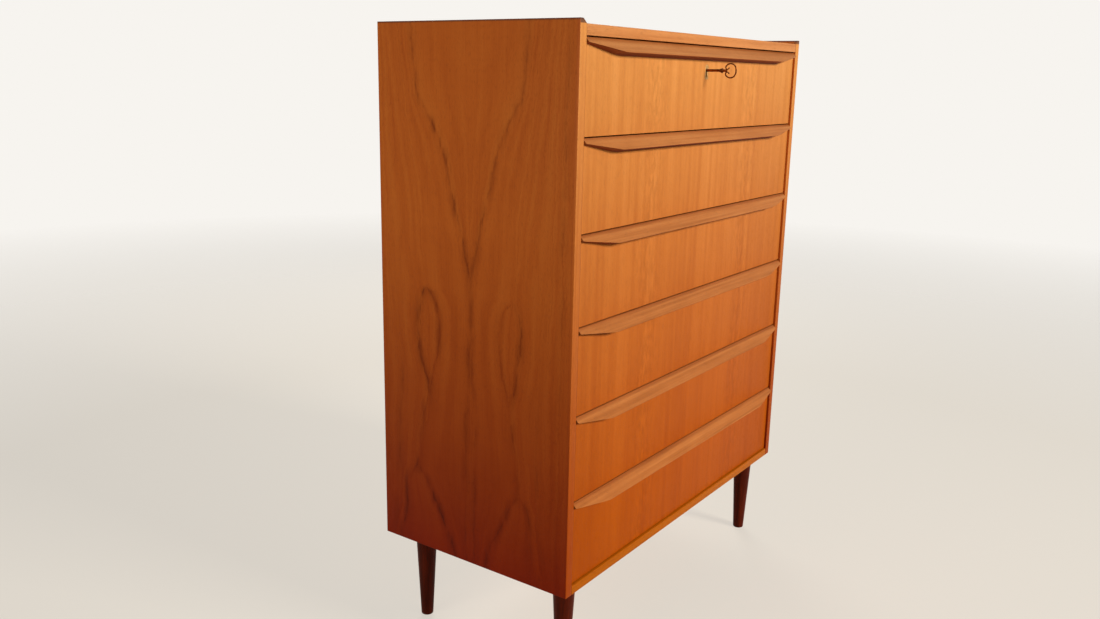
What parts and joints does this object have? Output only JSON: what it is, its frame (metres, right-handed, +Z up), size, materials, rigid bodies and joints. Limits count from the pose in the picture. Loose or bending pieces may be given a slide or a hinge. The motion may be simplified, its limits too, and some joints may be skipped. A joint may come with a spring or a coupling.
{
  "type": "tall chest of drawers",
  "caption": "Tall teak chest of drawers on turned legs, with raised side edges, full-width lip pulls, dovetailed boxes on side runners, and a lock with its key",
  "frame": {"origin": "on the floor, under the middle of the whole outline, the key included", "axes": "+Z up, +Y to the back, +X to the right as seen from the front"},
  "size_m": [0.8, 0.4474, 1.062],
  "materials": {
    "teak_veneer": "satin teak veneer, vertical grain",
    "teak_side": "satin teak veneer, figured and book-matched",
    "teak_solid": "satin solid teak",
    "dark_wood": "dark stained, satin",
    "beech": "plain beech",
    "plywood": "plain plywood",
    "steel": "plain steel",
    "brass": "aged brass",
    "bronze": "dark browned brass"
  },
  "bodies": {
    "carcass": {"left_side": "teak_side", "right_side": "teak_side", "top_panel": "teak_veneer", "bottom_panel": "teak_veneer", "back_panel": "plywood", "front_lippings": "teak_solid", "carcass_dowels": "beech", "back_panel_screws": "steel", "drawer_runners": "beech", "runner_screws": "steel", "leg_front_left": "dark_wood", "leg_front_right": "dark_wood", "leg_rear_left": "dark_wood", "leg_rear_right": "dark_wood", "leg_plates": "steel", "leg_plate_screws": "steel", "leg_bolts": "steel", "strike_plate": "brass", "strike_plate_screws": "brass"},
    "drawer_1": {"drawer_1_front": "teak_veneer", "drawer_1_pull": "teak_solid", "drawer_1_left_side": "beech", "drawer_1_right_side": "beech", "drawer_1_back": "beech", "drawer_1_bottom": "plywood", "lock_case": "brass", "lock_screws": "brass", "keyhole_liner": "brass"},
    "drawer_2": {"drawer_2_front": "teak_veneer", "drawer_2_pull": "teak_solid", "drawer_2_left_side": "beech", "drawer_2_right_side": "beech", "drawer_2_back": "beech", "drawer_2_bottom": "plywood"},
    "drawer_3": {"drawer_3_front": "teak_veneer", "drawer_3_pull": "teak_solid", "drawer_3_left_side": "beech", "drawer_3_right_side": "beech", "drawer_3_back": "beech", "drawer_3_bottom": "plywood"},
    "drawer_4": {"drawer_4_front": "teak_veneer", "drawer_4_pull": "teak_solid", "drawer_4_left_side": "beech", "drawer_4_right_side": "beech", "drawer_4_back": "beech", "drawer_4_bottom": "plywood"},
    "drawer_5": {"drawer_5_front": "teak_veneer", "drawer_5_pull": "teak_solid", "drawer_5_left_side": "beech", "drawer_5_right_side": "beech", "drawer_5_back": "beech", "drawer_5_bottom": "plywood"},
    "drawer_6": {"drawer_6_front": "teak_veneer", "drawer_6_pull": "teak_solid", "drawer_6_left_side": "beech", "drawer_6_right_side": "beech", "drawer_6_back": "beech", "drawer_6_bottom": "plywood"},
    "lock_bolt": {"lock_bolt": "brass"},
    "key": {"key": "bronze"}
  },
  "joints": [
    {"name": "drawer_1_slide", "type": "slide", "parent": "carcass", "child": "drawer_1", "axis": [0, -1, 0], "range_m": [0, 0.28]},
    {"name": "drawer_2_slide", "type": "slide", "parent": "carcass", "child": "drawer_2", "axis": [0, -1, 0], "range_m": [0, 0.28]},
    {"name": "drawer_3_slide", "type": "slide", "parent": "carcass", "child": "drawer_3", "axis": [0, -1, 0], "range_m": [0, 0.28]},
    {"name": "drawer_4_slide", "type": "slide", "parent": "carcass", "child": "drawer_4", "axis": [0, -1, 0], "range_m": [0, 0.28]},
    {"name": "drawer_5_slide", "type": "slide", "parent": "carcass", "child": "drawer_5", "axis": [0, -1, 0], "range_m": [0, 0.28]},
    {"name": "drawer_6_slide", "type": "slide", "parent": "carcass", "child": "drawer_6", "axis": [0, -1, 0], "range_m": [0, 0.28]},
    {"name": "key_turn", "type": "hinge", "parent": "drawer_1", "child": "key", "pos_m": [0, -0.14975, 0.997], "axis": [0, 1, 0], "range_deg": [0, 360]},
    {"name": "bolt_slide", "type": "slide", "parent": "drawer_1", "child": "lock_bolt", "axis": [0, 0, 1], "range_m": [0, 0.008]}
  ],
  "couplings": [
    {"joint": "bolt_slide", "follows": "key_turn", "m_per_rad": 0.0012732}
  ]
}
